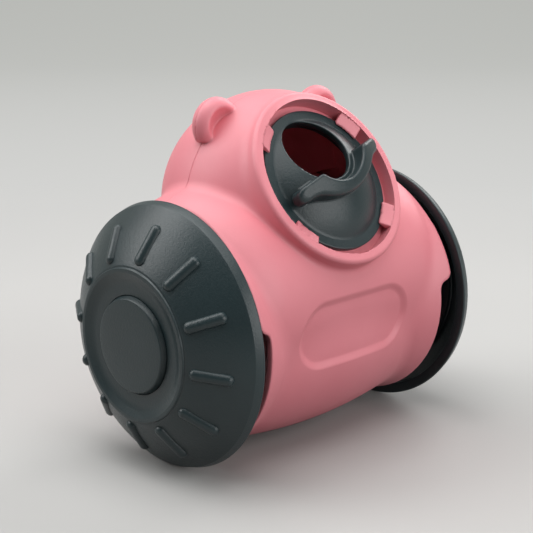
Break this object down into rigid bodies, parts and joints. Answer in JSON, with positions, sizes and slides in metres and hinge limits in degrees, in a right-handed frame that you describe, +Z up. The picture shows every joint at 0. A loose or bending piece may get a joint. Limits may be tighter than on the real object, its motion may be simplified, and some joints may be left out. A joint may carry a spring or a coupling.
{
  "type": "treat dispensing dog toy",
  "caption": "Rocking dog toy with a hollow rounded body between free-turning dish wheels, a weighted belly and a turning lid with a feeding hole that lets treats fall out.",
  "frame": {"origin": "on the floor under the middle of the axle, where the object stands", "axes": "+X along the axle, the mouth and the panel face -Y, +Z up"},
  "size_m": [0.138, 0.092, 0.1239],
  "materials": {
    "pink_plastic": "satin, fine moulded grain",
    "grey_plastic": "satin, fine moulded grain",
    "steel": "zinc-plated, plain",
    "iron": "as cast"
  },
  "bodies": {
    "body": {"front_shell": "pink_plastic", "rear_shell": "pink_plastic", "chamber_floor": "pink_plastic", "counterweight": "iron", "shell_screws": "steel", "left_axle": "grey_plastic", "right_axle": "grey_plastic", "left_axle_screws": "steel", "right_axle_screws": "steel", "left_washer": "steel", "right_washer": "steel", "left_wheel_screw": "steel", "right_wheel_screw": "steel"},
    "left_wheel_set": {"left_wheel": "grey_plastic", "left_hub_cap": "grey_plastic"},
    "right_wheel_set": {"right_wheel": "grey_plastic", "right_hub_cap": "grey_plastic"},
    "lid_set": {"lid": "grey_plastic"}
  },
  "joints": [
    {"name": "left_wheel_spin", "type": "hinge", "parent": "body", "child": "left_wheel_set", "pos_m": [-0.053, 0, 0.046], "axis": [1, 0, 0], "continuous": true},
    {"name": "right_wheel_spin", "type": "hinge", "parent": "body", "child": "right_wheel_set", "pos_m": [0.053, 0, 0.046], "axis": [1, 0, 0], "continuous": true},
    {"name": "lid_turn", "type": "hinge", "parent": "body", "child": "lid_set", "pos_m": [0, -0.02568, 0.09725], "axis": [0, -0.8425, 0.5388], "continuous": true}
  ]
}
